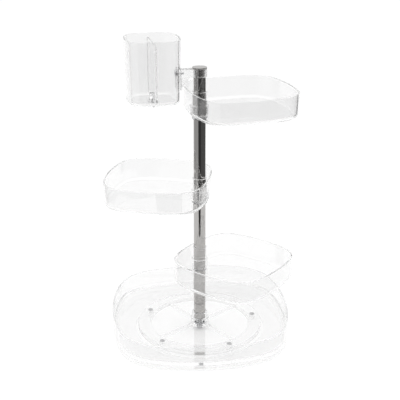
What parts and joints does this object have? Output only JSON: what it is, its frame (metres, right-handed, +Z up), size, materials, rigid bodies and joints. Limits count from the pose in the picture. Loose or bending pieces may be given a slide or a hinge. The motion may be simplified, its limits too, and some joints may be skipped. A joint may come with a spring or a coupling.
{
  "type": "rotating makeup organizer",
  "caption": "Free-standing rotating make-up organizer: clear square trays that swivel out from a polished pole, a divided brush cup at the top and a wide tray base on a turntable foot.",
  "frame": {"origin": "on the pole's axis, at the level of the table under the foot's stubs", "axes": "+Z up along the pole; +X to the right and +Y away from the viewer in the position drawn"},
  "size_m": [0.2532, 0.2428, 0.411],
  "materials": {
    "clear_plastic": "clear, glossy moulded surface",
    "frosted_plastic": "slightly milky translucent surface",
    "polished_tube": "mirror-polished",
    "dark_plastic": "matt black",
    "screw_steel": "bright zinc-plated"
  },
  "bodies": {
    "foot": {"turntable_foot": "clear_plastic", "foot_pads": "dark_plastic", "hub_washer": "frosted_plastic"},
    "turntable": {"base_tray": "clear_plastic", "base_cover": "clear_plastic", "pivot_screw": "screw_steel", "pole_socket": "clear_plastic", "pole_tube_1": "polished_tube", "pole_tube_2": "polished_tube", "pole_tube_3": "polished_tube", "pole_tube_4": "polished_tube", "pole_coupler_bottom": "frosted_plastic", "pole_coupler_middle": "frosted_plastic", "pole_coupler_top": "frosted_plastic", "stop_collar_bottom": "frosted_plastic", "stop_collar_middle": "frosted_plastic", "stop_collar_top": "frosted_plastic", "top_plug": "frosted_plastic", "top_cap": "polished_tube"},
    "bottom_tray": {"tray_bottom": "clear_plastic", "tray_bush_bottom": "frosted_plastic"},
    "middle_tray": {"tray_middle": "clear_plastic", "tray_bush_middle": "frosted_plastic"},
    "top_tray": {"tray_top": "clear_plastic", "tray_bush_top": "frosted_plastic"},
    "cup": {"brush_cup": "clear_plastic", "cup_divider": "clear_plastic", "cup_bracket": "clear_plastic", "cup_screw": "screw_steel", "divider_screw": "screw_steel"}
  },
  "joints": [
    {"name": "base_spin", "type": "hinge", "parent": "foot", "child": "turntable", "pos_m": [0, 0, 0.011], "axis": [0, 0, 1], "continuous": true},
    {"name": "bottom_tray_swivel", "type": "hinge", "parent": "turntable", "child": "bottom_tray", "pos_m": [0, 0, 0.0929], "axis": [0, 0, 1], "continuous": true},
    {"name": "middle_tray_swivel", "type": "hinge", "parent": "turntable", "child": "middle_tray", "pos_m": [0, 0, 0.1918], "axis": [0, 0, 1], "continuous": true},
    {"name": "top_tray_swivel", "type": "hinge", "parent": "turntable", "child": "top_tray", "pos_m": [0, 0, 0.3081], "axis": [0, 0, 1], "continuous": true},
    {"name": "cup_swivel", "type": "hinge", "parent": "top_tray", "child": "cup", "pos_m": [0, 0, 0.3595], "axis": [0, 0, 1], "range_deg": [-27, 41]}
  ]
}
